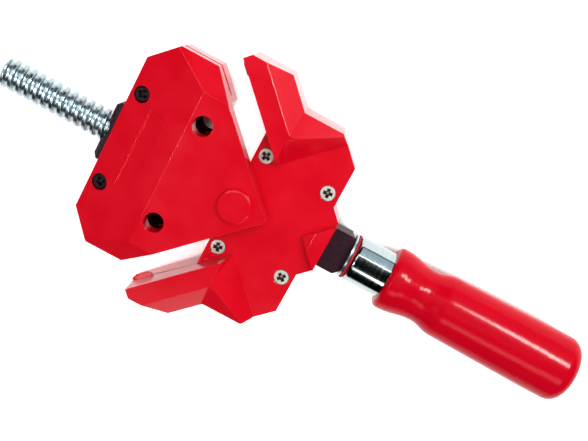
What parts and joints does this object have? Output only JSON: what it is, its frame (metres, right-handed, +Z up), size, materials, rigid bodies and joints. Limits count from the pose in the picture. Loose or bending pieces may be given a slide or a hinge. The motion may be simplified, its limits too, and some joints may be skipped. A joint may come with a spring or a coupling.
{
  "type": "corner clamp",
  "caption": "Right-angle corner clamp: a spindle with a wooden handle draws a two-armed outer jaw towards a wedge-shaped bench jaw, with swivels for boards of unequal thickness.",
  "frame": {"origin": "midway between the two bench holes, on the flat underside of the wedge", "axes": "+X along the spindle towards the handle, +Z up out of the jaws' top, +Y completes the right-handed frame"},
  "size_m": [0.3666, 0.1544, 0.0475],
  "materials": {
    "red_coat": "satin",
    "dark_steel": "satin",
    "zinc_steel": "satin",
    "black_moulding": "matte",
    "bronze": "satin",
    "red_fibre": "matte",
    "bright_ferrule": "gloss",
    "lacquered_wood": "gloss"
  },
  "bodies": {
    "wedge": {"wedge_upper_shell": "red_coat", "wedge_lower_shell": "red_coat", "wedge_screws": "dark_steel", "slide_plate": "zinc_steel", "apex_rivet": "red_coat"},
    "nut": {"nut_block": "black_moulding", "nut_insert": "dark_steel", "nut_pivot_pins": "zinc_steel"},
    "carriage": {"swivel_block": "black_moulding", "swivel_pins": "zinc_steel", "shank_bush": "bronze", "thrust_washer": "zinc_steel"},
    "spindle": {"spindle": "zinc_steel", "retaining_ring": "dark_steel", "fibre_washer": "red_fibre", "ferrule": "bright_ferrule", "handle": "lacquered_wood"},
    "outer_jaw": {"jaw_upper_shell": "red_coat", "jaw_lower_shell": "red_coat", "jaw_screws": "zinc_steel"}
  },
  "joints": [
    {"name": "nut_swivel", "type": "hinge", "parent": "wedge", "child": "nut", "pos_m": [-0.03, 0, 0.0108], "axis": [0, 0, 1], "range_deg": [-3, 3]},
    {"name": "jaw_travel", "type": "slide", "parent": "nut", "child": "carriage", "axis": [1, 0, 0], "range_m": [-0.0143, 0.0567]},
    {"name": "spindle_spin", "type": "hinge", "parent": "carriage", "child": "spindle", "pos_m": [0.1, 0, 0.0108], "axis": [1, 0, 0], "range_deg": [-991.1, 3926.4]},
    {"name": "jaw_swivel", "type": "hinge", "parent": "carriage", "child": "outer_jaw", "pos_m": [0.08617, 0, 0.0108], "axis": [0, 0, 1], "range_deg": [-3, 3]}
  ],
  "couplings": [
    {"joint": "spindle_spin", "follows": "jaw_travel", "rad_per_m": 1208.3},
    {"joint": "jaw_swivel", "follows": "nut_swivel", "ratio": -1}
  ]
}
